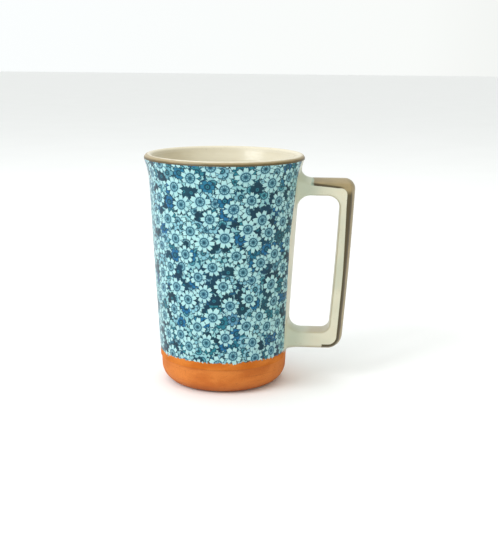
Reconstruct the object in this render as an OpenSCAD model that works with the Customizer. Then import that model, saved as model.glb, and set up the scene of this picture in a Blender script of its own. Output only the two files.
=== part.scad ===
// Tall stoneware mug: a tapered cup with a rolled lip, a bare clay foot band
// and a squared strap handle luted on at the right (+X).
// Origin at the centre of the foot, +Z up, millimetres.
// The fired layers are thin solids that lie face to face on the clay.

// Where a line lists choices, only those values are known to build: they shape
// the tangent neck and lip, and values between them can fail.

/* [Cup] */
// Height over the lip
cup_h = 122; // [120, 122]
// Diameter over the lip
rim_d = 84; // [83, 84, 86]
// Outer diameter of the wall where it starts to flare out to the lip
neck_d = 78.8; // [77.4, 78, 78.8]
// Outer diameter of the straight taper, carried down to the table
base_d = 66.6; // [62, 66.6, 70]
// Length of the flare below the top of the lip
flare_h = 15; // [10, 15, 18.5]
// Thickness of the clay wall
wall_t = 3.4; // [3.4]
// Radius of the rounded edge between wall and foot
base_round = 9; // [5:0.5:12]
// Thickness of the floor over the foot recess
floor_t = 5; // [3.5:0.5:8]
// Radius of the rounded corner between floor and inside wall
inner_round = 9; // [4:0.5:14]

/* [Foot] */
// Diameter of the turned recess under the foot
recess_d = 38; // [26:1:42]
// Depth of the recess
recess_h = 1.6; // [0.8:0.1:2.5]

/* [Handle] */
// Distance from the cup's axis to the outermost point of the handle
handle_reach = 68.5; // [66:0.5:74]
// Height of the top of the handle
handle_top = 110; // [104:0.5:112]
// Height of the underside of the handle
handle_bottom = 18; // [16:0.5:24]
// Width of the strap
strap_w = 13.5; // [11:0.5:14.5]
// Thickness of the top bar
top_bar_t = 8.7; // [7:0.1:10]
// Thickness of the upright
upright_t = 7.4; // [6:0.1:9]
// Thickness of the lower bar
low_bar_t = 10; // [8.5:0.1:11]
// Height of the crown on the strap's outer face
crown_h = 2.4; // [1.7:0.1:3]
// Radius of the outer corner at the top
top_corner_r = 5.5; // [4:0.1:8]
// Radius of the outer corner at the bottom
low_corner_r = 8; // [6:0.1:10]
// Radius of the inner corner at the top
top_inner_r = 6.3; // [3:0.1:7]
// Radius of the inner corner at the bottom
low_inner_r = 4.5; // [3:0.1:6]
// Lean of the upright in towards the foot, in degrees
lean = 3.5; // [0:0.1:6]

/* [Roots] */
// Radius of the flared slip collar where the top bar meets the wall
top_root_r = 9.5; // [8.5:0.1:10.5]
// Radius of the hollow curve of that collar
top_root_fillet = 5.2; // [3:0.1:6]
// Radius of the slip collar where the lower bar meets the wall
low_root_r = 9.3; // [8.9:0.1:10]
// Radius of the hollow curve of that collar
low_root_fillet = 7; // [4:0.1:8]
// Height of the lower collar's centre
low_root_z = 26; // [25:0.5:28]

/* [Glaze] */
// Thickness of the glaze coats
coat_t = 0.3; // [0.2, 0.3]
// Thickness of the printed flower film
film_t = 0.12; // [0.12, 0.16]
// Height of the bare clay band at the foot
bare_h = 17; // [13:0.5:17]
// Depth of the iron-brown band, down from the top of the lip
rim_band_h = 2.3; // [1.5:0.1:4]
// Half width of the film's gap at the lower root
gap_low = 9.8; // [9.8:0.1:12]
// Half width of the gap below the upper root
gap_high = 15.5; // [10:0.5:18]
// Half width of the gap beside the upper root
gap_root = 10.2; // [10.2:0.1:14]
// Distance from the axis where the iron band starts on the top bar
iron_start = 45; // [43:0.5:50]
// Width of the iron glaze on the strap's side faces
iron_edge = 0.8; // [0.4:0.1:1.2]
// Width of the iron glaze on the side faces at the top corner
iron_wrap = 1.6; // [1.2:0.1:2.4]

/* [Hidden] */
$fn = 180;

clay = "#c9803f";
slip = "#d2955a";
celadon = "#c9cfb4";
cream = "#e6dfc8";
iron = "#6b5b38";
print_blue = "#5f93a6";

// Glaze and film together make the skin that every fired coat fills
skin_t = coat_t + film_t;
lip_r = wall_t / 2;
big = 200;

// Taper of the wall, measured on the clay
neck_z = cup_h - flare_h;
taper = (neck_d - base_d) / 2 / neck_z;
taper_a = atan(taper);
out_n = [cos(taper_a), -sin(taper_a)];
function clay_r(z) = base_d / 2 + taper * z - skin_t / cos(taper_a);

// The flare is an arc tangent to the taper at the neck and to the round lip
neck = [clay_r(neck_z), neck_z];
lip_c = [rim_d / 2 - lip_r - skin_t, cup_h - lip_r - skin_t];
neck_off = neck - lip_c;
flare_r = (neck_off * neck_off - lip_r * lip_r) / (2 * (lip_r - neck_off * out_n));
flare_c = neck + flare_r * out_n;
// The line from the lip's centre to the flare's centre, carried to the axis
mouth_z = lip_c.y + (lip_c.y - flare_c.y) / (flare_c.x - lip_c.x) * lip_c.x;

// Rounded edge of the foot and rounded corner of the floor
foot_c = [clay_r(base_round) - base_round / cos(taper_a), base_round];
floor_z = floor_t + recess_h;
corner_z = floor_z + inner_round;
corner_c = [clay_r(corner_z) - (wall_t + inner_round) / cos(taper_a), corner_z];

// Crown of the strap's outer face
crown_r = (strap_w * strap_w / 4 + crown_h * crown_h) / (2 * crown_h);

// Handle outline in the XZ plane, each point as [x, z]
lean_n = [cos(lean), -sin(lean)];
top_corner = [handle_reach - top_corner_r, handle_top - top_corner_r];
top_under = handle_top - top_bar_t;
low_over = handle_bottom + low_bar_t;
root_x = 20;

// Point at height z, depth outward of the leaning line through c
function beside(c, depth, z) = [c.x + (depth - (z - c.y) * lean_n.y) / lean_n.x, z];
low_corner = beside(top_corner, top_corner_r - low_corner_r, handle_bottom + low_corner_r);

// Centres of the inner corners
inner_face = top_corner_r - upright_t;
top_inner = beside(top_corner, inner_face - top_inner_r, top_under - top_inner_r);
low_inner = beside(top_corner, inner_face - low_inner_r, low_over + low_inner_r);
top_root_z = handle_top - top_bar_t / 2;
rim_z = cup_h - rim_band_h;

// Side of the film's gap, from the foot up to the lip, as [half width, height]
gap_side = [
    [gap_low, 0], [gap_low, bare_h], [gap_high, top_under - 5], [gap_root, top_under], [gap_root, cup_h]
];

// ---- cup profiles, x = radius and y = height ----

// Area inside the outer surface, grown by e
module outer_area(e) {
    side = e / cos(taper_a);
    difference() {
        polygon([
            [0, 0], [clay_r(0) + side, 0], neck + e * out_n, flare_c, [0, mouth_z]
        ]);
        translate(flare_c) circle(flare_r - e);
    }
}

// Area of the hollow, shrunk by e
module hollow_area(e) {
    shift = (wall_t + e) / cos(taper_a);
    difference() {
        union() {
            polygon([
                [0, floor_z + e], [corner_c.x, floor_z + e], corner_c,
                [clay_r(corner_z) - shift, corner_z], neck - (wall_t + e) * out_n,
                flare_c, [0, mouth_z]
            ]);
            intersection() {
                translate(corner_c) circle(inner_round - e);
                translate([corner_c.x, 0]) square([inner_round, corner_z]);
            }
        }
        translate(flare_c) circle(flare_r + wall_t + e);
    }
}

// Wall, floor and lip, with every free surface moved out by e
module cup_area(e) {
    difference() {
        outer_area(e);
        hollow_area(e);
    }
    translate(lip_c) circle(lip_r + e);
}

// The fired skin between two depths over the clay
module skin_area(from, to) {
    difference() {
        cup_area(to);
        cup_area(from);
    }
}

module above(z) {
    translate([0, z]) square([big, big]);
}

module below(z) {
    translate([0, -big]) square([big, big + z]);
}

// Everything outside the middle of the wall
module outside_wall() {
    mid = wall_t / 2 / cos(taper_a);
    polygon([
        [clay_r(0) - mid, 0], [clay_r(neck_z) - mid, neck_z], lip_c, [lip_c.x, big], [big, big], [big, 0]
    ]);
}

// ---- handle ----

// What rounds a corner takes away, between two directions from its centre
module corner_cut(c, r, dir_a, dir_b) {
    difference() {
        polygon([c, c + 3 * r * dir_a, c + 3 * r * (dir_a + dir_b), c + 3 * r * dir_b]);
        translate(c) circle(r);
    }
}

// Area right of from_x, inside a line that runs round two corners
module bent_area(from_x, top_c, low_c, top_r, low_r) {
    top_y = top_c.y + top_r;
    low_y = low_c.y - low_r;
    difference() {
        polygon([
            [from_x, low_y], beside(low_c, low_r, low_y), beside(top_c, top_r, top_y), [from_x, top_y]
        ]);
        corner_cut(top_c, top_r, [0, 1], lean_n);
        corner_cut(low_c, low_r, lean_n, [0, -1]);
    }
}

// Side view of the strap, shrunk by e
module strap_outline(e) {
    difference() {
        bent_area(root_x - e, top_corner, low_corner, top_corner_r - e, low_corner_r - e);
        bent_area(root_x - 1, top_inner, low_inner, top_inner_r + e, low_inner_r + e);
    }
}

// All that lies inward of a crowned face with its ridge through p,
// facing a degrees up from +X
module crown_limit(p, a, e) {
    translate([p.x, 0, p.y])
        rotate([0, -a, 0])
            linear_extrude(2 * big, center = true) {
                translate([-crown_r, 0]) circle(crown_r - e);
                translate([-crown_r - big, -strap_w / 2 - 0.5]) square([big, strap_w + 1]);
            }
}

// The whole strap, running on into the cup at both ends, shrunk by e
module strap(e) {
    intersection() {
        rotate([90, 0, 0]) linear_extrude(strap_w - 2 * e, center = true) strap_outline(e);
        crown_limit([0, handle_top], 90, e);
        crown_limit(top_corner + top_corner_r * lean_n, -lean, e);
        crown_limit([0, handle_bottom], -90, e);
    }
}

// Flared collar around a bar where it meets the wall, shrunk by e
module collar(z, r, fillet, e) {
    translate([0, 0, z])
        rotate([0, 90, 0])
            rotate_extrude() difference() {
                translate([0, root_x - e]) square([r - e, clay_r(z) + fillet - root_x + e]);
                translate([r, clay_r(z) + fillet]) circle(fillet + e, $fn = 360);
            }
}

// Strap and collars together, shrunk by e
module handle_form(e) {
    strap(e);
    collar(top_root_z, top_root_r, top_root_fillet, e);
    collar(low_root_z, low_root_r, low_root_fillet, e);
}

// Prism across the strap from an outline in the XZ plane
module across(outline) {
    rotate([90, 0, 0]) linear_extrude(2 * strap_w, center = true) polygon(outline);
}

// Outer side of the strap, where the iron glaze is brushed on
module iron_zone() {
    across([
        [iron_start, big], [iron_start, handle_top - crown_h - iron_edge],
        top_corner + [0, top_corner_r - crown_h - iron_wrap],
        top_corner + [top_corner_r - crown_h - iron_wrap / 2, -top_corner_r],
        low_corner + (low_corner_r - crown_h - iron_edge) * lean_n,
        [low_corner.x - 2, low_corner.y - 2], [low_corner.x - 2, -big], [big, -big], [big, big]
    ]);
}

// Keeps a form clear of the clay cup and cuts its ends to the wall
module off_the_cup() {
    difference() {
        children();
        rotate_extrude() outer_area(0);
    }
}

// Plain strip of the wall beside the handle, where the film stops
module film_gap() {
    for (s = [0, 1])
        mirror([0, s, 0])
            rotate([90, 0, 90])
                linear_extrude(big) polygon(concat([[-1, 0]], gap_side, [[-1, cup_h]]));
}

// ---- pieces ----

module cup_body() {
    color(clay) rotate_extrude() difference() {
        cup_area(0);
        square([recess_d / 2, recess_h]);
        difference() {
            translate([foot_c.x, 0]) square([big, base_round]);
            translate(foot_c) circle(base_round);
        }
    }
}

module handle() {
    color(clay) off_the_cup() strap(skin_t);
}

module root_joint(z, r, fillet) {
    color(slip) off_the_cup() difference() {
        collar(z, r, fillet, skin_t);
        strap(skin_t);
    }
}

module upper_handle_joint() {
    root_joint(top_root_z, top_root_r, top_root_fillet);
}

module lower_handle_joint() {
    root_joint(low_root_z, low_root_r, low_root_fillet);
}

module inner_glaze() {
    color(cream) rotate_extrude() difference() {
        intersection() {
            skin_area(0, skin_t);
            below(rim_z);
        }
        outside_wall();
    }
}

// Band of the outer skin between two depths, from the bare foot to the lip
module outer_band(from, to) {
    rotate_extrude() intersection() {
        skin_area(from, to);
        outside_wall();
        below(rim_z);
        above(bare_h);
    }
}

module outer_glaze() {
    color(celadon) difference() {
        outer_band(0, coat_t);
        handle_form(0);
    }
}

module rim_band() {
    color(iron) rotate_extrude() intersection() {
        skin_area(0, skin_t);
        above(rim_z);
    }
}

module floral_transfer() {
    color(print_blue) difference() {
        outer_band(coat_t, skin_t);
        film_gap();
    }
}

// The coat over strap and collars together
module handle_coat() {
    off_the_cup() difference() {
        handle_form(0);
        handle_form(skin_t);
    }
}

module handle_glaze() {
    color(celadon) difference() {
        handle_coat();
        iron_zone();
    }
}

module handle_iron_band() {
    color(iron) intersection() {
        handle_coat();
        iron_zone();
    }
}

cup_body();
handle();
upper_handle_joint();
lower_handle_joint();
inner_glaze();
outer_glaze();
rim_band();
floral_transfer();
handle_glaze();
handle_iron_band();
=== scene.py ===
"""Looks of the tall stoneware mug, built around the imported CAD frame. Metres, +Z up, handle towards +X."""
import math

import bmesh
import bpy
import numpy as np
from mathutils import Matrix, Vector


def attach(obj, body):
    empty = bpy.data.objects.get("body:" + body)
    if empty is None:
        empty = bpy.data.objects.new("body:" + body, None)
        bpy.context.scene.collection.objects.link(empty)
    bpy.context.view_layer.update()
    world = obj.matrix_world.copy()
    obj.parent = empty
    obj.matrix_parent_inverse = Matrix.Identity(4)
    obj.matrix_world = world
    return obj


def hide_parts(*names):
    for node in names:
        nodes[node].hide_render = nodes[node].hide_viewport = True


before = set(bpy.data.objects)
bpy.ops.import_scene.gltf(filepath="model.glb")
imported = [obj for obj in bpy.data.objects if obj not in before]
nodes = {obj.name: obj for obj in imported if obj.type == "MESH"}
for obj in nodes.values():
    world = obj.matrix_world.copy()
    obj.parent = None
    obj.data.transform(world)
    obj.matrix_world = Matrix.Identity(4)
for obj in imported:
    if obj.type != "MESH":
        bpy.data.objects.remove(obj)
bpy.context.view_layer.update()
MM = 0.001

# ---------------------------------------------------------------- sizes, mm, as in the CAD model
CUP_H, RIM_D, NECK_D, BASE_D, FLARE_H, WALL = 122, 84, 78.8, 66.6, 15, 3.4
BASE_ROUND, FLOOR_T, INNER_ROUND = 9, 5, 9
RECESS_D, RECESS_H = 38, 1.6
REACH, TOP, BOTTOM, STRAP_W = 68.5, 110, 18, 13.5
TOP_BAR, UPRIGHT, LOW_BAR = 8.7, 7.4, 10
CROWN, TOP_CORNER, LOW_CORNER, TOP_INNER, LOW_INNER, LEAN = 2.4, 5.5, 8, 6.3, 4.5, math.radians(3.5)
COAT, FILM = 0.3, 0.12
SKIN = COAT + FILM
BARE_H, RIM_BAND = 17, 2.3
LIP_R = WALL / 2
IRON_START = 45

NECK_Z = CUP_H - FLARE_H
TAPER = (NECK_D - BASE_D) / 2 / NECK_Z
TAPER_A = math.atan(TAPER)
OUT_N = np.array([math.cos(TAPER_A), -math.sin(TAPER_A)])


def clay_r(z):
    """Radius of the clay wall's straight taper at height z."""
    return BASE_D / 2 + TAPER * z - SKIN / OUT_N[0]


NECK = np.array([clay_r(NECK_Z), NECK_Z])
LIP_C = np.array([RIM_D / 2 - LIP_R - SKIN, CUP_H - LIP_R - SKIN])
_v = NECK - LIP_C
FLARE_R = (_v @ _v - LIP_R ** 2) / (2 * (LIP_R - _v @ OUT_N))
FLARE_C = NECK + FLARE_R * OUT_N
FLOOR_Z = FLOOR_T + RECESS_H
CORNER_Z = FLOOR_Z + INNER_ROUND
CORNER_C = np.array([clay_r(CORNER_Z) - (WALL + INNER_ROUND) / OUT_N[0], CORNER_Z])
FOOT_C = np.array([clay_r(BASE_ROUND) - BASE_ROUND / OUT_N[0], BASE_ROUND])


# ---------------------------------------------------------------- cup profiles, [radius, height] in mm
def arc(c, r, a0, a1, n):
    """Points round c from angle a0 to a1, in radians."""
    a = np.linspace(a0, a1, n)
    return [[c[0] + r * math.cos(t), c[1] + r * math.sin(t)] for t in a]


def line(a, b, n):
    """Points from a to b, without b."""
    shares = np.linspace(0, 1, n, endpoint=False)
    return [[a[0] + (b[0] - a[0]) * t, a[1] + (b[1] - a[1]) * t] for t in shares]


# Where the flare meets the lip, as an angle round the flare's centre
FLARE_A1 = math.atan2(*(LIP_C - FLARE_C)[::-1])
FLARE_A0 = math.atan2(*(-OUT_N)[::-1])
FLARE_A0 += 2 * math.pi if FLARE_A0 < 0 else 0
FLARE_A1 += 2 * math.pi if FLARE_A1 < 0 else 0


def outside(e, z_low, n_wall=40):
    """Outer surface grown by e, from height z_low up to the top of the lip."""
    low = [clay_r(z_low) + e / OUT_N[0], z_low]
    top = list(NECK + e * OUT_N)
    points = line(low, top, n_wall)
    points += arc(FLARE_C, FLARE_R - e, FLARE_A0, FLARE_A1, 18)
    lip_a0 = FLARE_A1 - math.pi
    points += arc(LIP_C, LIP_R + e, lip_a0, math.pi / 2, 16)[1:]
    return points


def inside(e, n_wall=40):
    """Inner surface grown by e, from the top of the lip down to the middle of the floor."""
    points = arc(LIP_C, LIP_R + e, math.pi / 2, FLARE_A1, 14)
    points += arc(FLARE_C, FLARE_R + WALL + e, FLARE_A1, FLARE_A0, 18)[1:]
    low = np.array([clay_r(CORNER_Z), CORNER_Z]) - np.array([(WALL + e) / OUT_N[0], 0])
    points += line(points[-1], low, n_wall)[1:]
    points += arc(CORNER_C, INNER_ROUND - e, 0, -math.pi / 2, 12)
    points += line(points[-1], [0, FLOOR_Z + e], 12)[1:] + [[0, FLOOR_Z + e]]
    return points


def cut_below(points, z):
    """The part of a profile under height z, ending exactly on it."""
    kept = []
    for a, b in zip(points, points[1:] + [None]):
        if a[1] <= z:
            kept.append(a)
        if b and (a[1] - z) * (b[1] - z) < 0:
            t = (z - a[1]) / (b[1] - a[1])
            kept.append([a[0] + (b[0] - a[0]) * t, z])
    return kept


def cut_above(points, z):
    """The part of a profile over height z, ending exactly on it."""
    flipped = cut_below([[r, -h] for r, h in points], -z)
    return [[r, -h] for r, h in flipped]


# ---------------------------------------------------------------- meshes
def finish_mesh(name, verts, faces, body="root", replaces=(), sharp=math.radians(38)):
    """A new piece from points in mm, with outward normals and smooth shading."""
    mesh = bpy.data.meshes.new(name)
    mesh.from_pydata([Vector(v) * MM for v in verts], [], faces)
    bm = bmesh.new()
    bm.from_mesh(mesh)
    bmesh.ops.remove_doubles(bm, verts=bm.verts, dist=2e-6)
    bmesh.ops.recalc_face_normals(bm, faces=bm.faces)
    for f in bm.faces:
        f.smooth = True
    for e in bm.edges:
        e.smooth = e.calc_face_angle(0) < sharp
    bm.to_mesh(mesh)
    bm.free()
    obj = bpy.data.objects.new(name, mesh)
    bpy.context.scene.collection.objects.link(obj)
    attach(obj, body)
    if replaces:
        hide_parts(*replaces)
    return obj


def wobble(a, z):
    """Tiny unevenness of a thrown form, in mm outwards, at angle a and height z."""
    rings = 0.035 * math.sin(z * 1.9) + 0.03 * math.sin(z * 0.83 + 1.2)
    sway = 0.06 * math.sin(a * 2 + z * 0.031) + 0.04 * math.sin(a * 3 - z * 0.05 + 0.7)
    return (rings + sway) * min(1, max(0, (CUP_H - z) / 12))


def lathe(name, profile, segments=256, gap=None, **how):
    """A closed profile turned about Z; gap, a function of height, gives the half angle left open at +X."""
    verts, faces, rings = [], [], []
    for r, z in profile:
        half = gap(z) if gap else 0
        if r < 1e-6:
            rings.append([len(verts)] * segments)
            verts.append((0, 0, z))
            continue
        ring = []
        for i in range(segments):
            a = half + (2 * math.pi - 2 * half) * i / (segments - 1 if gap else segments)
            rr = r + wobble(a, z) * min(1, r / 20)
            ring.append(len(verts))
            verts.append((rr * math.cos(a), rr * math.sin(a), z))
        rings.append(ring)
    n = len(rings)
    steps = segments - 1 if gap else segments
    for j in range(n):
        a, b = rings[j], rings[(j + 1) % n]
        for i in range(steps):
            k = (i + 1) % segments
            quad = [a[i], a[k], b[k], b[i]]
            face = [v for t, v in enumerate(quad) if v != quad[t - 1]]
            if len(face) > 2:
                faces.append(face)
    if gap:
        half_n = n // 2
        for side in (0, segments - 1):
            for j in range(half_n - 1):
                corners = (j, j + 1, n - 2 - j, n - 1 - j)
                faces.append([rings[c][side] for c in corners])
    return finish_mesh(name, verts, faces, **how)


RIM_Z = CUP_H - RIM_BAND
foot = line([0.0, RECESS_H], [RECESS_D / 2 - 0.4, RECESS_H], 10) + [[RECESS_D / 2 - 0.4, RECESS_H]]
foot += [[RECESS_D / 2 - 0.1, RECESS_H - 0.15], [RECESS_D / 2, RECESS_H - 0.4], [RECESS_D / 2, 0.4]]
foot += [[RECESS_D / 2 + 0.12, 0.12], [RECESS_D / 2 + 0.4, 0]]
foot += line([RECESS_D / 2 + 0.4, 0], [FOOT_C[0], 0], 6)[1:]
foot += arc(FOOT_C, BASE_ROUND, -math.pi / 2, -TAPER_A, 22)
clay_profile = foot + outside(0, BASE_ROUND + 1.5)
clay_profile += inside(0)[1:]
clay_cup = lathe("clay_cup", clay_profile, replaces=["cup_body"])

liner_out = cut_below(inside(SKIN), RIM_Z)
liner_in = cut_below(inside(0), RIM_Z)
liner = lathe("cream_liner", liner_out + liner_in[::-1], replaces=["inner_glaze"])

coat_out = cut_below(outside(COAT, BARE_H), RIM_Z)
coat_in = cut_below(outside(0, BARE_H), RIM_Z)
coat = lathe("celadon_coat", coat_out + coat_in[::-1], replaces=["outer_glaze"])

band_out = cut_above(outside(SKIN, BARE_H), RIM_Z) + cut_above(inside(SKIN), RIM_Z)[1:]
band_in = cut_above(outside(0, BARE_H), RIM_Z) + cut_above(inside(0), RIM_Z)[1:]
rim_band = lathe("iron_lip", band_out + band_in[::-1], replaces=["rim_band"])


# ---------------------------------------------------------------- the printed film
# The film runs on below the coat, painted as clay, so that its ragged edge has room
FILM_LOW = 14.2
GAP_LOW, GAP_HIGH, GAP_ROOT = 9.8, 15.0, 10.2


def outer_radius(z, e=SKIN):
    """Radius of the finished outer surface at height z."""
    points = [p for p in outside(e, 0) if p[0] < RIM_D / 2 - 0.01]
    return float(np.interp(z, [p[1] for p in points], [p[0] for p in points]))


def gap_angle(z):
    """Half angle of the plain strip beside the handle at height z."""
    rise = min(1, max(0, (z - BARE_H) / 78)) ** 0.9
    close = min(1, max(0, (z - 74) / 38))
    close = close * close * (3 - 2 * close)
    half = (GAP_LOW + (GAP_HIGH - GAP_LOW) * rise) * (1 - close) + GAP_ROOT * close
    half += 0.12 * math.sin(z * 0.9) + 0.08 * math.sin(z * 2.3 + 1)
    return math.asin(half / outer_radius(min(z, 118)))


film_out = cut_below(outside(SKIN, FILM_LOW), RIM_Z)
film_in = cut_below(outside(COAT, FILM_LOW), RIM_Z)
film = lathe("flower_print", film_out + film_in[::-1], 300, gap_angle, replaces=["floral_transfer"])


# ---------------------------------------------------------------- handle
LEAN_N = np.array([math.cos(LEAN), -math.sin(LEAN)])
P0 = np.array([REACH - TOP_CORNER, TOP - TOP_CORNER])
CROWN_R = (STRAP_W ** 2 / 4 + CROWN ** 2) / (2 * CROWN)
BOW = 0.5
DISH = 0.25
WALL_STEPS = np.array([-0.5, 0, 0.12, 0.35, 0.7, 1.2, 1.9, 2.8, 3.9, 5.2, 6.6, 8.0])
ROOTS = {
    "top": {"z": TOP - TOP_BAR / 2, "half": TOP_BAR / 2,
            "up": 5.2, "down": 6.6, "side": 2.6, "reach": 6.8},
    "low": {"z": BOTTOM + LOW_BAR / 2, "half": LOW_BAR / 2,
            "up": 7.2, "down": 1.2, "side": 2.5, "reach": 7.0},
}
BAR_STEPS, CORNER_STEPS, UPRIGHT_STEPS = 14, 14, 44


def corner_centre(z, off, r, sign):
    """Centre of a corner of radius r between the line at height z and the leaning line at off."""
    cz = z - sign * r
    cx = P0[0] + (off - r - (cz - P0[1]) * LEAN_N[1]) / LEAN_N[0]
    return np.array([cx, cz])


def strap_line(z_top, off, z_low, r_top, r_low):
    """Side-view line round the strap, as three runs of [x, z]: corner, upright, corner."""
    c1 = corner_centre(z_top, off, r_top, 1)
    c2 = corner_centre(z_low, off, r_low, -1)
    first = arc(c1, r_top, math.pi / 2, -LEAN, CORNER_STEPS)
    last = arc(c2, r_low, -LEAN, -math.pi / 2, CORNER_STEPS)
    return np.array(first + line(first[-1], last[0], UPRIGHT_STEPS)[1:] + last)


def near_wall(root, y, z, w):
    """Where a point of the strap's section lies at distance w from the wall, flared into it."""
    f = root["reach"]
    t = min(1, max(0, (f - w) / f))
    q = 1 - math.sqrt(1 - t * t)
    dz = z - root["z"]
    grow = root["up"] if dz > 0 else root["down"]
    z2 = root["z"] + dz * (1 + q * grow / root["half"])
    y2 = y * (1 + q * root["side"] / (STRAP_W / 2))
    rr = outer_radius(z2)
    return [math.sqrt(rr * rr - y2 * y2) + w, y2, z2]


def strap_column(y, z_top, off, z_low, r_top, r_low):
    """One line of points along the whole strap, from the upper root to the lower one."""
    mid = strap_line(z_top, off, z_low, r_top, r_low)
    rows = []
    for key, end, z in (("top", mid[0], z_top), ("low", mid[-1], z_low)):
        run = [near_wall(ROOTS[key], y, z, w) for w in WALL_STEPS]
        start = run[-1]
        for t in np.linspace(0, 1, BAR_STEPS)[1:-1]:
            run.append([start[0] + (end[0] - start[0]) * t, start[1], start[2] + (end[1] - start[2]) * t])
        rows.append(run)
    top, low = rows
    return top + [[x, y, z] for x, z in mid] + low[::-1]


def strap_section(e):
    """Columns of the strap's surface, shrunk by e, going once round the section from side to side."""
    half, edge, inner_edge = STRAP_W / 2 - e, 1.1, 1.3
    crown_r = CROWN_R - e
    y_c = half - edge
    depth_c = CROWN_R - math.sqrt((crown_r - edge) ** 2 - y_c ** 2)
    a0 = math.asin(y_c / (crown_r - edge))
    outer = [(edge_y, CROWN_R - math.sqrt(crown_r ** 2 - edge_y ** 2))
             for edge_y in np.linspace(0, crown_r * math.sin(a0), 9)]
    outer += [(y_c + edge * math.sin(t), depth_c - edge * math.cos(t))
              for t in np.linspace(a0, math.pi / 2, 7)[1:]]
    inner = [(half - inner_edge + inner_edge * math.sin(t), e + inner_edge - inner_edge * math.cos(t))
             for t in np.linspace(math.pi / 2, 0, 7)]
    flat = half - inner_edge
    inner += [(y, e - DISH * (1 - (y / flat) ** 2)) for y in np.linspace(flat, 0, 6)[1:]]

    def outer_col(y, d):
        r_top = max(TOP_CORNER - 1.85 * d, 0.7)
        r_low = max(LOW_CORNER - 1.25 * d, 3.5)
        return np.array(strap_column(y, TOP - d, TOP_CORNER - d, BOTTOM + d, r_top, r_low))

    def inner_col(y, d):
        off = TOP_CORNER - UPRIGHT + d
        z_top, z_low = TOP - TOP_BAR + d, BOTTOM + LOW_BAR - d
        return np.array(strap_column(y, z_top, off, z_low, TOP_INNER + d, LOW_INNER + d))

    right = [outer_col(y, d) for y, d in outer]
    inner_cols = [inner_col(y, d) for y, d in inner]
    side_a, side_b = right[-1], inner_cols[0]
    # the first column down the side is where the iron glaze ends; it dips at the top corner
    z = side_a[:, 2]
    x = side_a[:, 0]
    dip = np.clip((x - IRON_START) / 18, 0, 1) * np.clip((z - 60) / 40, 0, 1)
    share = (0.07 + 0.30 * dip)[:, None]
    sides = [side_a * (1 - share) + side_b * share]
    sides += [sides[0] * (1 - t) + side_b * t for t in (0.25, 0.5, 0.75)]
    right += sides + inner_cols
    left = [c * np.array([1, -1, 1]) for c in right[1:-1]][::-1]
    grid = np.array(right + left)
    # the upright bows out a little
    lift = np.clip((grid[:, :, 0] - 52) / 6, 0, 1)
    grid[:, :, 0] += BOW * lift * np.sin(math.pi * np.clip((grid[:, :, 2] - BOTTOM) / (TOP - BOTTOM), 0, 1))
    return grid, len(outer)


outer_grid, iron_cols = strap_section(0)
inner_grid, _ = strap_section(SKIN)
COLS, ROWS = outer_grid.shape[:2]
ridge = outer_grid[0]
IRON_END_BACK = 10.5
iron_row_a = int(np.argmax(ridge[:, 0] > IRON_START))
low_x = P0[0] - IRON_END_BACK
iron_row_b = ROWS - 1 - int(np.argmax(ridge[::-1, 0] > low_x))


def is_iron(c, r):
    """True where the quad from column c and row r is under iron glaze."""
    near = c < iron_cols or c >= COLS - iron_cols
    return near and iron_row_a <= r < iron_row_b


def handle_shell(name, keep, replaces):
    """A closed thin skin over the kept quads of the handle."""
    verts = [tuple(p) for p in outer_grid.reshape(-1, 3)] + [tuple(p) for p in inner_grid.reshape(-1, 3)]
    base = COLS * ROWS
    faces, edges = [], {}
    for c in range(COLS):
        for r in range(ROWS - 1):
            if not keep(c, r):
                continue
            c2 = (c + 1) % COLS
            quad = [c * ROWS + r, c2 * ROWS + r, c2 * ROWS + r + 1, c * ROWS + r + 1]
            faces.append(quad)
            faces.append([v + base for v in quad[::-1]])
            for a, b in zip(quad, quad[1:] + quad[:1]):
                edges[(a, b)] = True
    for a, b in edges:
        if (b, a) not in edges:
            faces.append([b, a, a + base, b + base])
    used = sorted({v for f in faces for v in f})
    index = {v: i for i, v in enumerate(used)}
    kept = [[index[v] for v in f] for f in faces]
    return finish_mesh(name, [verts[v] for v in used], kept, replaces=replaces)


def handle_tube(name, r0, r1, replaces):
    """A closed solid piece of the clay under the skin, between two rows."""
    verts = [tuple(inner_grid[c, r]) for r in range(r0, r1 + 1) for c in range(COLS)]
    faces = []
    for r in range(r1 - r0):
        for c in range(COLS):
            c2 = (c + 1) % COLS
            faces.append([r * COLS + c, r * COLS + c2, (r + 1) * COLS + c2, (r + 1) * COLS + c])
    faces.append(list(range(COLS)))
    faces.append([(r1 - r0) * COLS + c for c in range(COLS)][::-1])
    return finish_mesh(name, verts, faces, replaces=replaces)


JOINT_ROWS = 7
handle_coat = handle_shell("handle_celadon", lambda c, r: not is_iron(c, r), ["handle_glaze"])
handle_iron = handle_shell("handle_iron", is_iron, ["handle_iron_band"])
upper_joint = handle_tube("upper_slip_joint", 0, JOINT_ROWS, ["upper_handle_joint"])
lower_joint = handle_tube("lower_slip_joint", ROWS - 1 - JOINT_ROWS, ROWS - 1, ["lower_handle_joint"])
handle_bar = handle_tube("handle_bar", JOINT_ROWS, ROWS - 1 - JOINT_ROWS, ["handle"])


# ---------------------------------------------------------------- material building
def srgb(r, g, b):
    """Linear colour with alpha from 0-255 values."""
    def channel(c):
        c /= 255
        return c / 12.92 if c <= 0.04045 else ((c + 0.055) / 1.055) ** 2.4
    return (channel(r), channel(g), channel(b), 1)


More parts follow.
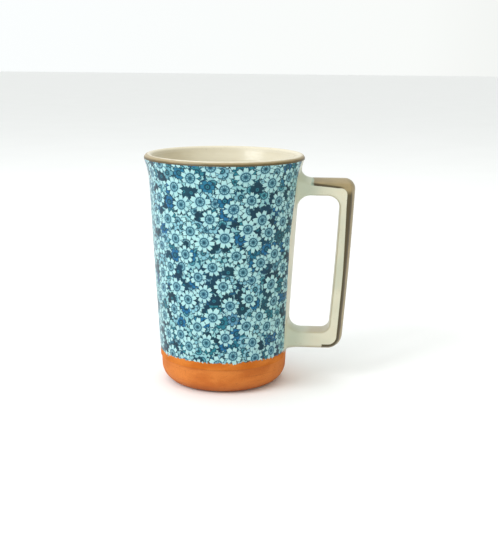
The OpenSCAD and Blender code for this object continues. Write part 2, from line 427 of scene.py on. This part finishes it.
class Look:
    """A node material with short calls for the nodes it needs."""

    def __init__(self, name):
        self.mat = bpy.data.materials.new(name)
        self.mat.use_nodes = True
        self.tree = self.mat.node_tree
        self.bsdf = next(n for n in self.tree.nodes if n.type == "BSDF_PRINCIPLED")

    def put(self, socket, value):
        if isinstance(value, bpy.types.NodeSocket):
            self.tree.links.new(value, socket)
        else:
            socket.default_value = value

    def node(self, kind, **settings):
        n = self.tree.nodes.new(kind)
        for key, value in settings.items():
            setattr(n, key, value)
        return n

    def math(self, op, a, b=0.0, c=0.0, clamp=False):
        n = self.node("ShaderNodeMath", operation=op, use_clamp=clamp)
        for socket, value in zip(n.inputs, (a, b, c)):
            self.put(socket, value)
        return n.outputs[0]

    def add(self, a, b):
        return self.math("ADD", a, b)

    def sub(self, a, b):
        return self.math("SUBTRACT", a, b)

    def mul(self, a, b):
        return self.math("MULTIPLY", a, b)

    def top(self, a, b):
        return self.math("MAXIMUM", a, b)

    def low(self, a, b):
        return self.math("MINIMUM", a, b)

    def step(self, x, a, b):
        """0 at a and 1 at b, smooth between; a may be over b."""
        n = self.node("ShaderNodeMapRange", interpolation_type="SMOOTHSTEP")
        up = not isinstance(a, (int, float)) or not isinstance(b, (int, float)) or a <= b
        self.put(n.inputs["Value"], x)
        self.put(n.inputs["From Min"], a if up else b)
        self.put(n.inputs["From Max"], b if up else a)
        n.inputs["To Min"].default_value = 0 if up else 1
        n.inputs["To Max"].default_value = 1 if up else 0
        return n.outputs["Result"]

    def mix(self, share, a, b):
        n = self.node("ShaderNodeMix", data_type="RGBA")
        self.put(n.inputs["Factor"], share)
        self.put([s for s in n.inputs if s.name == "A" and s.type == "RGBA"][0], a)
        self.put([s for s in n.inputs if s.name == "B" and s.type == "RGBA"][0], b)
        return [s for s in n.outputs if s.type == "RGBA"][0]

    def blend(self, share, a, b):
        """Mix of two numbers."""
        return self.add(self.mul(a, self.sub(1.0, share)), self.mul(b, share))

    def xyz(self, vector):
        n = self.node("ShaderNodeSeparateXYZ")
        self.put(n.inputs[0], vector)
        return n.outputs[0], n.outputs[1], n.outputs[2]

    def vec(self, x, y, z=0.0):
        n = self.node("ShaderNodeCombineXYZ")
        for socket, value in zip(n.inputs, (x, y, z)):
            self.put(socket, value)
        return n.outputs[0]

    def place(self):
        """Object position in millimetres."""
        n = self.node("ShaderNodeTexCoord")
        m = self.node("ShaderNodeVectorMath", operation="SCALE")
        self.put(m.inputs[0], n.outputs["Object"])
        m.inputs["Scale"].default_value = 1000
        return m.outputs[0]

    def noise(self, vector, scale, detail=3.0, rough=0.5, distort=0.0):
        n = self.node("ShaderNodeTexNoise")
        self.put(n.inputs["Vector"], vector)
        n.inputs["Scale"].default_value = scale
        n.inputs["Detail"].default_value = detail
        n.inputs["Roughness"].default_value = rough
        n.inputs["Distortion"].default_value = distort
        return n.outputs["Fac"]

    def stretch(self, vector, x, y, z):
        n = self.node("ShaderNodeVectorMath", operation="MULTIPLY")
        self.put(n.inputs[0], vector)
        n.inputs[1].default_value = (x, y, z)
        return n.outputs[0]

    def bump(self, height, distance, strength=1.0):
        n = self.node("ShaderNodeBump")
        n.inputs["Strength"].default_value = strength
        n.inputs["Distance"].default_value = distance
        self.put(n.inputs["Height"], height)
        self.put(self.bsdf.inputs["Normal"], n.outputs[0])

    def finish(self, colour, rough, ior=1.5):
        self.put(self.bsdf.inputs["Base Color"], colour)
        self.put(self.bsdf.inputs["Roughness"], rough)
        self.bsdf.inputs["IOR"].default_value = ior
        return self.mat


# ---------------------------------------------------------------- colours
PETAL = srgb(166, 208, 208)
PETAL_BASE = srgb(128, 182, 194)
PETAL_BACK = srgb(136, 187, 190)
DISC = srgb(66, 120, 136)
DISC_DARK = srgb(22, 62, 78)
MID_BLUE = srgb(22, 98, 142)
MID_TEAL = srgb(34, 112, 126)
GROUND = srgb(0, 44, 60)
CLAY = srgb(188, 98, 20)
CLAY_PALE = srgb(206, 118, 42)
CLAY_DARK_AND_SHADE = srgb(146, 72, 22)
CELADON = srgb(208, 203, 180)
CELADON_GREY_AND_SHADE = srgb(190, 190, 168)
CELADON_POOL = srgb(164, 182, 162)
CREAM = srgb(222, 214, 192)
CREAM_WARM = srgb(206, 192, 162)
IRON_TAN = srgb(156, 136, 96)
LIP_TAN_AND_HIGHLIGHT = srgb(172, 156, 122)
IRON_DARK_AND_SHADE = srgb(70, 58, 26)
IRON_RUST = srgb(124, 98, 60)
IRON_OLIVE = srgb(138, 122, 84)
RUST = srgb(122, 70, 30)


def clay_look(k, p):
    """Colour, roughness and height of the bare fired clay."""
    _, _, z = k.xyz(p)
    broad = k.noise(k.stretch(p, 1, 1, 2.2), 0.06, 3, 0.55)
    grain = k.noise(p, 1.7, 4, 0.7)
    specks = k.step(k.noise(p, 0.9, 2, 0.5), 0.66, 0.74)
    turned = k.noise(k.stretch(p, 0.03, 0.03, 2.6), 1.0, 2, 0.6)
    colour = k.mix(k.step(broad, 0.35, 0.65), CLAY, CLAY_PALE)
    colour = k.mix(k.mul(k.step(grain, 0.45, 0.75), 0.35), colour, CLAY_DARK_AND_SHADE)
    colour = k.mix(k.mul(k.step(turned, 0.5, 0.8), 0.3), colour, CLAY_DARK_AND_SHADE)
    # painted shade: the clay darkens over its lowest 7 mm, where the rounded foot turns under towards the
    # floor
    colour = k.mix(k.mul(k.step(z, 7.0, 0.5), 0.55), colour, CLAY_DARK_AND_SHADE)
    colour = k.mix(k.mul(specks, 0.5), colour, CLAY_DARK_AND_SHADE)
    height = k.add(k.mul(grain, 0.5), k.mul(turned, 0.7))
    return colour, k.add(0.72, k.mul(grain, 0.2)), height


def clay_material():
    k = Look("bare_fired_clay")
    p = k.place()
    colour, rough, height = clay_look(k, p)
    k.bump(height, 0.00012, 0.8)
    return k.finish(colour, rough)


def slip_material():
    k = Look("luting_slip")
    p = k.place()
    n = k.noise(p, 0.6, 3, 0.6)
    k.bump(n, 0.0001, 0.6)
    return k.finish(k.mix(n, CLAY, CLAY_PALE), k.add(0.7, k.mul(n, 0.2)))


def near_roots(k, p):
    """1 at the middle of each root of the handle, fading out round it."""
    shares = []
    for z0, reach in ((TOP - TOP_BAR / 2, 17.0), (BOTTOM + LOW_BAR / 2 + 2, 17.0)):
        away = k.node("ShaderNodeVectorMath", operation="DISTANCE")
        k.put(away.inputs[0], p)
        away.inputs[1].default_value = (clay_r(z0), 0, z0)
        shares.append(k.step(away.outputs["Value"], reach, 6.0))
    return k.top(*shares)


def celadon_look(k, p):
    """Colour, roughness and height of the pale coat, greener where it pools round the roots."""
    pool = k.noise(p, 0.045, 2, 0.5)
    cloud = k.noise(p, 0.22, 3, 0.6)
    freckle = k.step(k.noise(p, 1.1, 1, 0.4), 0.70, 0.78)
    colour = k.mix(k.step(pool, 0.35, 0.65), CELADON, CELADON_GREY_AND_SHADE)
    colour = k.mix(k.mul(k.step(cloud, 0.45, 0.7), 0.25), colour, CREAM_WARM)
    colour = k.mix(k.mul(near_roots(k, p), 0.55), colour, CELADON_POOL)
    colour = k.mix(k.mul(freckle, 0.3), colour, IRON_TAN)
    rough = k.add(0.26, k.mul(cloud, 0.12))
    height = k.add(k.noise(p, 0.35, 2, 0.4), k.mul(k.noise(p, 1.6, 1, 0.3), 0.08))
    return colour, rough, height


def wall_celadon_material():
    """The coat on the wall, breaking to rust where it ends over the bare clay."""
    k = Look("celadon_wall_glaze")
    p = k.place()
    _, _, z = k.xyz(p)
    colour, rough, height = celadon_look(k, p)
    ragged = k.add(z, k.mul(k.sub(k.noise(p, 0.5, 3, 0.6), 0.5), 1.6))
    rust = k.low(k.step(ragged, 16.6, 17.4), k.step(ragged, 19.4, 17.4))
    colour = k.mix(k.mul(rust, 0.65), colour, RUST)
    k.bump(height, 0.0001, 0.6)
    return k.finish(colour, rough)


def handle_celadon_material():
    """The coat on the handle, with painted shade on the inner face and along its edges, where the glaze also
    breaks brown.
    """
    k = Look("celadon_handle_glaze")
    p = k.place()
    colour, rough, height = celadon_look(k, p)
    facing = k.node("ShaderNodeNewGeometry").outputs["Normal"]
    _, across, _ = k.xyz(facing)
    # painted shade, with the glaze breaking brown: faces that do not point sideways, away from the roots,
    # darken towards iron tan
    inner = k.step(k.math("ABSOLUTE", across), 0.97, 0.7)
    free = k.step(near_roots(k, p), 0.7, 0.1)
    colour = k.mix(k.mul(k.mul(inner, free), 0.45), colour, IRON_TAN)
    k.bump(height, 0.0001, 0.5)
    return k.finish(colour, rough)


def cream_material():
    k = Look("cream_liner_glaze")
    p = k.place()
    _, _, z = k.xyz(p)
    cloud = k.noise(p, 0.05, 2, 0.5)
    rings = k.noise(k.stretch(p, 0.05, 0.05, 1.5), 1.0, 2, 0.5)
    colour = k.mix(k.mul(k.step(cloud, 0.35, 0.75), 0.4), CREAM, CREAM_WARM)
    # painted shade: the liner turns greyer from 60 mm down to the floor, deep inside the cup
    colour = k.mix(k.mul(k.step(z, 60.0, 8.0), 0.25), colour, CELADON_GREY_AND_SHADE)
    near_lip = k.step(k.add(z, k.mul(cloud, 1.5)), 117.6, 119.8)
    colour = k.mix(k.mul(near_lip, 0.15), colour, LIP_TAN_AND_HIGHLIGHT)
    k.bump(k.add(rings, k.noise(p, 0.4, 2, 0.4)), 0.00012, 0.6)
    return k.finish(colour, k.add(0.16, k.mul(cloud, 0.12)))


def iron_lip_material():
    k = Look("iron_lip_glaze")
    p = k.place()
    x, y, z = k.xyz(p)
    patch = k.noise(p, 0.16, 3, 0.6)
    fine = k.noise(p, 1.4, 3, 0.6)
    radius = k.math("SQRT", k.add(k.mul(x, x), k.mul(y, y)))
    ragged = k.add(z, k.mul(k.sub(patch, 0.5), 1.2))
    colour = k.mix(k.step(patch, 0.3, 0.7), IRON_OLIVE, IRON_RUST)
    # painted highlight: the top of the lip turns a lighter tan
    colour = k.mix(k.mul(k.step(ragged, 120.6, 121.5), 0.75), colour, LIP_TAN_AND_HIGHLIGHT)
    spill = k.add(radius, k.mul(k.sub(patch, 0.5), 0.8))
    worn = k.step(x, -38.0, -18.0)
    spill = k.sub(spill, k.mul(worn, 0.75))
    colour = k.mix(k.mul(k.step(spill, 40.7, 39.9), 0.85), colour, CREAM)
    # painted shade under the lip's bulge, together with the iron glaze pooling there: a dark line low on the
    # band's outside
    line = k.mul(k.step(ragged, 120.9, 120.3), k.step(radius, 40.4, 41.2))
    colour = k.mix(k.mul(line, 0.85), colour, IRON_DARK_AND_SHADE)
    colour = k.mix(k.mul(k.step(fine, 0.55, 0.8), 0.25), colour, IRON_DARK_AND_SHADE)
    k.bump(k.add(patch, k.mul(fine, 0.3)), 0.0001, 0.6)
    return k.finish(colour, k.add(0.3, k.mul(fine, 0.2)))


def handle_iron_material():
    k = Look("iron_handle_glaze")
    p = k.place()
    x, y, z = k.xyz(p)
    side = k.math("ABSOLUTE", y)
    patch = k.noise(p, 0.14, 3, 0.6)
    fine = k.noise(p, 1.3, 3, 0.6)
    run = k.noise(k.stretch(p, 1, 1, 0.6), 0.12, 3, 0.55)
    wavy = k.mul(k.sub(patch, 0.5), 1.4)
    # painted shade with pooled glaze: on the upright both edges of the strap are dark, on its bevels; on the
    # top bar only a thin line where the glaze ends
    upright = k.step(z, 105.0, 101.5)
    edge = k.mul(k.step(k.add(side, wavy), 4.9, 5.9), upright)
    end_line = k.sub(z, k.sub(107.5, k.mul(k.sub(x, 45.0), 0.115)))
    thin = k.mul(k.step(end_line, 1.1, 0.3), k.step(x, 64.0, 60.0))
    dark = k.top(edge, k.mul(thin, k.step(z, 100.0, 103.0)))
    colour = k.mix(k.step(run, 0.3, 0.75), IRON_TAN, IRON_OLIVE)
    colour = k.mix(k.mul(k.step(patch, 0.45, 0.8), 0.25), colour, IRON_RUST)
    colour = k.mix(dark, colour, IRON_DARK_AND_SHADE)
    colour = k.mix(k.mul(k.step(fine, 0.5, 0.85), 0.2), colour, IRON_DARK_AND_SHADE)
    # the brushed glaze thins out to the pale coat at its upper end
    start = k.step(k.add(x, k.mul(k.sub(k.noise(p, 0.35, 3, 0.6), 0.5), 5.0)), 47.4, 45.6)
    colour = k.mix(start, colour, CELADON_POOL)
    k.bump(k.add(run, k.mul(fine, 0.3)), 0.00012, 0.6)
    return k.finish(colour, k.add(0.26, k.mul(fine, 0.2)))


GRID_TURN = math.radians(27)
GRID = 11.2
PRINT_R = 37.0


def flower_layer(k, u, v, spacing, jitter, shift, radius, turn=GRID_TURN, petals=7.0, deepest=0.5):
    """One scatter of flowers on a turned grid, with the values that draw the flower at hand."""
    c, s = math.cos(turn) / spacing, math.sin(turn) / spacing
    gu = k.add(k.add(k.mul(u, c), k.mul(v, s)), shift[0])
    gv = k.add(k.sub(k.mul(v, c), k.mul(u, s)), shift[1])
    grid = k.vec(gu, gv)
    cell = k.node("ShaderNodeTexVoronoi", voronoi_dimensions="2D", feature="F1")
    k.put(cell.inputs["Vector"], grid)
    cell.inputs["Scale"].default_value = 1
    cell.inputs["Randomness"].default_value = jitter
    away = k.node("ShaderNodeVectorMath", operation="SUBTRACT")
    k.put(away.inputs[0], grid)
    k.put(away.inputs[1], cell.outputs["Position"])
    dx, dy, _ = k.xyz(away.outputs[0])
    red, green, blue = k.xyz(cell.outputs["Color"])
    dist = k.mul(k.math("SQRT", k.add(k.mul(dx, dx), k.mul(dy, dy))), spacing)
    angle = k.add(k.math("ARCTAN2", dy, dx), k.mul(red, 6.283))
    count = k.add(k.math("FLOOR", k.mul(green, 2.99)), petals)
    wave = k.math("ABSOLUTE", k.math("COSINE", k.mul(k.mul(angle, count), 0.5)))
    lobe = k.low(k.mul(wave, 1.15), 1.0)
    notch = k.mul(k.math("POWER", wave, 14.0), -0.10)
    uneven = k.mul(k.math("SINE", k.add(k.mul(angle, 2.0), k.mul(blue, 9.0))), 0.05)
    size = k.mul(radius, k.add(0.92, k.mul(blue, 0.14)))
    edge = k.mul(size, k.add(k.add(deepest, k.mul(lobe, 1.03 - deepest)), k.add(notch, uneven)))
    centre_v = k.sub(v, k.mul(k.add(k.mul(dx, s), k.mul(dy, c)), spacing * spacing))
    return {"over": k.sub(dist, edge), "dist": dist, "wave": wave, "a": green, "b": blue,
            "centre_v": centre_v, "angle": angle}


def flower_face(k, f, petal, base, disc, dark, disc_r):
    """Colour of one flower's petals and centre."""
    d = f["dist"]
    colour = k.mix(k.step(d, disc_r + 1.0, disc_r), petal, base)
    colour = k.mix(k.mul(k.step(f["wave"], 0.30, 0.12), 0.55), colour, base)
    ring = k.mul(k.step(d, disc_r + 0.32, disc_r + 0.02), 1.0)
    colour = k.mix(ring, colour, dark)
    colour = k.mix(k.step(d, disc_r - 0.10, disc_r - 0.38), colour, disc)
    beads = k.math("ABSOLUTE", k.math("COSINE", k.mul(f["angle"], 5.0)))
    band = k.low(k.step(d, disc_r * 0.52, disc_r * 0.62), k.step(d, disc_r * 0.86, disc_r * 0.74))
    colour = k.mix(k.mul(k.mul(band, k.step(beads, 0.5, 0.9)), 0.6), colour, petal)
    colour = k.mix(k.step(d, disc_r * 0.42, disc_r * 0.26), colour, dark)
    return colour


def print_material():
    """Overlapping small flowers in pale, mid and dark blue, ending raggedly at the bare clay."""
    k = Look("flower_transfer_print")
    p = k.place()
    x, y, z = k.xyz(p)
    # arc length round the wall, with its seam in the plain strip at the handle
    turn = k.math("ARCTAN2", k.mul(y, -1.0), k.mul(x, -1.0))
    wander = k.mul(k.sub(k.noise(p, 0.09, 2, 0.5), 0.5), 1.4)
    u = k.add(k.mul(turn, PRINT_R), wander)
    v = k.add(z, wander)
    soft = 0.22
    clay, clay_rough, clay_height = clay_look(k, p)

    back = flower_layer(k, u, v, 8.2, 0.6, (40.25, 31.75), 4.9, GRID_TURN + 0.6)
    dark = flower_layer(k, u, v, 6.9, 0.7, (11.4, 77.2), 3.3, GRID_TURN - 0.4, 5.0, 0.62)
    middle = flower_layer(k, u, v, GRID, 0.4, (60.5, 30.5), 4.9)
    top = flower_layer(k, u, v, GRID, 0.4, (20.0, 50.0), 4.85)

    wash = k.noise(p, 0.13, 3, 0.6)
    drift = k.noise(p, 0.035, 2, 0.5)
    tint = k.mix(k.step(drift, 0.42, 0.58), MID_TEAL, MID_BLUE)
    ground = k.mix(k.mul(k.step(k.noise(p, 0.5, 2, 0.5), 0.42, 0.62), 0.6), GROUND, tint)
    ragged = k.add(v, k.mul(k.sub(k.noise(p, 0.8, 3, 0.6), 0.5), 3.4))
    printed = k.step(ragged, 17.7, 18.0)
    ground = k.mix(k.mul(k.step(ragged, 20.2, 18.2), 0.75), ground, IRON_DARK_AND_SHADE)

    def lay(colour, printed, f, face, floor_v, some=1.0):
        """One layer of flowers over what is printed so far, whole ones hanging over the ragged edge."""
        body = k.mul(k.step(f["over"], soft / 2, -soft / 2), some)
        outline = k.mul(k.step(f["over"], 0.85, 0.25), some)
        hangs = k.step(f["centre_v"], floor_v, floor_v + 0.05)
        colour = k.mix(outline, colour, k.mix(k.step(v, 19.4, 17.4), GROUND, IRON_DARK_AND_SHADE))
        return k.mix(body, colour, face), k.top(printed, k.mul(body, hangs))

    back_face = flower_face(k, back, PETAL_BACK, PETAL_BASE, MID_TEAL, DISC_DARK, 2.0)
    colour, printed = lay(ground, printed, back, back_face, 20.0)

    middle_face = flower_face(k, middle, PETAL, PETAL_BASE, DISC, DISC_DARK, 2.2)
    colour, printed = lay(colour, printed, middle, middle_face, 20.2, k.step(middle["a"], 0.44, 0.45))

    tone = k.mix(k.step(dark["b"], 0.45, 0.65), MID_BLUE, MID_TEAL)
    tone = k.mix(k.step(dark["a"], 0.74, 0.78), tone, PETAL_BASE)
    tone = k.mix(k.step(dark["a"], 0.44, 0.38), tone, GROUND)
    dark_face = flower_face(k, dark, tone, GROUND, MID_TEAL, GROUND, 1.1)
    colour, printed = lay(colour, printed, dark, dark_face, 19.6, k.step(dark["b"], 0.14, 0.15))

    top_face = flower_face(k, top, PETAL, PETAL_BASE, DISC, DISC_DARK, 2.3)
    colour, printed = lay(colour, printed, top, top_face, 20.2)

    # ink thins and gathers, and the underglaze bleeds a little
    colour = k.mix(k.mul(k.step(wash, 0.35, 0.7), 0.16), colour, tint)
    colour = k.mix(k.mul(k.step(k.noise(p, 2.2, 2, 0.6), 0.5, 0.8), 0.22), colour, GROUND)

    colour = k.mix(printed, clay, colour)
    rough = k.blend(printed, clay_rough, k.add(0.24, k.mul(wash, 0.14)))
    height = k.add(k.mul(printed, 0.8), k.add(k.mul(k.noise(p, 0.35, 2, 0.4), 0.5), k.mul(clay_height, 0.1)))
    k.bump(height, 0.0001, 0.5)
    return k.finish(colour, rough, 1.32)


def dress(obj, material):
    obj.data.materials.clear()
    obj.data.materials.append(material)


clay_mat = clay_material()
slip_mat = slip_material()
dress(clay_cup, clay_mat)
dress(liner, cream_material())
dress(coat, wall_celadon_material())
dress(rim_band, iron_lip_material())
dress(film, print_material())
dress(handle_coat, handle_celadon_material())
dress(handle_iron, handle_iron_material())
dress(handle_bar, clay_mat)
dress(upper_joint, slip_mat)
dress(lower_joint, slip_mat)


# ---------------------------------------------------------------- floor, light and camera
def floor_material():
    k = Look("studio_floor")
    p = k.place()
    n = k.noise(p, 0.01, 2, 0.5)
    colour = k.mix(n, srgb(248, 248, 248), srgb(252, 252, 252))
    return k.finish(colour, k.add(0.8, k.mul(n, 0.1)))


floor_mesh = bpy.data.meshes.new("studio_floor")
floor_mesh.from_pydata([(-6, -6, 0), (6, -6, 0), (6, 6, 0), (-6, 6, 0)], [], [(0, 1, 2, 3)])
floor = bpy.data.objects.new("studio_floor", floor_mesh)
bpy.context.scene.collection.objects.link(floor)
floor_mesh.materials.append(floor_material())


def area_light(name, place, aim, size, watts, colour):
    data = bpy.data.lights.new(name, "AREA")
    data.shape = "RECTANGLE"
    data.size, data.size_y = size
    data.energy = watts
    data.color = colour
    lamp = bpy.data.objects.new(name, data)
    lamp.location = place
    lamp.rotation_euler = (Vector(aim) - Vector(place)).to_track_quat("-Z", "Y").to_euler()
    bpy.context.scene.collection.objects.link(lamp)


area_light("key_left", (-0.75, -0.65, 0.75), (0, 0, 0.06), (0.6, 0.6), 7.5, (0.93, 0.98, 1.0))
area_light("fill_right", (0.9, -0.7, 0.5), (0, 0, 0.06), (0.8, 0.8), 1.2, (1.0, 0.97, 0.76))
area_light("top_soft", (0.0, 0.3, 1.1), (0, 0, 0.05), (1.0, 1.0), 2.5, (1.0, 1.0, 1.0))

# The room is brighter and cooler on the left, dimmer and a little green on the right
world = bpy.data.worlds.new("studio")
bpy.context.scene.world = world
world.use_nodes = True
room = world.node_tree
where = room.nodes.new("ShaderNodeTexCoord")
split = room.nodes.new("ShaderNodeSeparateXYZ")
ramp = room.nodes.new("ShaderNodeValToRGB")
ramp.color_ramp.elements[0].color = (1.06, 1.1, 1.14, 1)
ramp.color_ramp.elements[1].color = (0.42, 0.43, 0.36, 1)
middle = ramp.color_ramp.elements.new(0.55)
middle.color = (1.0, 1.02, 1.0, 1)
half = room.nodes.new("ShaderNodeMath")
half.operation = "MULTIPLY_ADD"
half.inputs[1].default_value = half.inputs[2].default_value = 0.5
room.links.new(where.outputs["Generated"], split.inputs[0])
room.links.new(split.outputs[0], half.inputs[0])
room.links.new(half.outputs[0], ramp.inputs[0])
room.links.new(ramp.outputs[0], room.nodes["Background"].inputs["Color"])
room.nodes["Background"].inputs["Strength"].default_value = 0.95
bpy.context.scene.view_settings.view_transform = "Standard"

# The camera stands a little towards the handle and looks down into the mouth
AZ = math.radians(5)
DIST, CAM_Z, ROLL = 529.2, 177.1, math.radians(0.5)
cam_data = bpy.data.cameras.new("camera")
cam_data.lens = 68
cam_data.sensor_width = 36
cam = bpy.data.objects.new("camera", cam_data)
bpy.context.scene.collection.objects.link(cam)
bpy.context.scene.camera = cam
cam.location = Vector((DIST * math.sin(AZ), -DIST * math.cos(AZ), CAM_Z)) * MM
aim = Vector((13.3 * math.cos(AZ), 13.3 * math.sin(AZ), 60.8)) * MM
look = (aim - cam.location).to_track_quat("-Z", "Y").to_matrix().to_4x4()
cam.matrix_world = Matrix.Translation(cam.location) @ look @ Matrix.Rotation(ROLL, 4, "Z")
